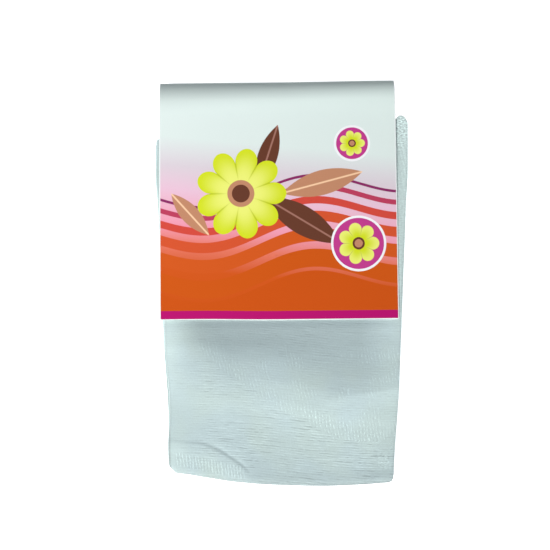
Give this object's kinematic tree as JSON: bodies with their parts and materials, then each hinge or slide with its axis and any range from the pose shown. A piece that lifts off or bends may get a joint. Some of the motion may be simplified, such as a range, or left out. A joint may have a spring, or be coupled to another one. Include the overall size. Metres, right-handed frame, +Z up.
{
  "type": "durag folded in a header card",
  "caption": "Pale knitted durag folded flat, its ties folded inside it, in a folded card sleeve that leaves its lower part bare.",
  "frame": {"origin": "middle of the pack's outline, on the surface that it lies on", "axes": "+X right across the card as its front is seen, +Y along the pack from the cloth's foot to the card's fold, +Z up out of the card's front"},
  "size_m": [0.1498, 0.2414, 0.016],
  "materials": {
    "crown_knit": "pale mint-white fine warp knit with a soft sheen and fine cross ribs",
    "tie_knit": "the same pale knit, in the shade between the layers",
    "printed_card": "glossy printed white card with bare white cut edges"
  },
  "bodies": {
    "root": {"crown_panel": "crown_knit", "left_tie": "tie_knit", "right_tie": "tie_knit", "header_card": "printed_card"}
  },
  "joints": []
}
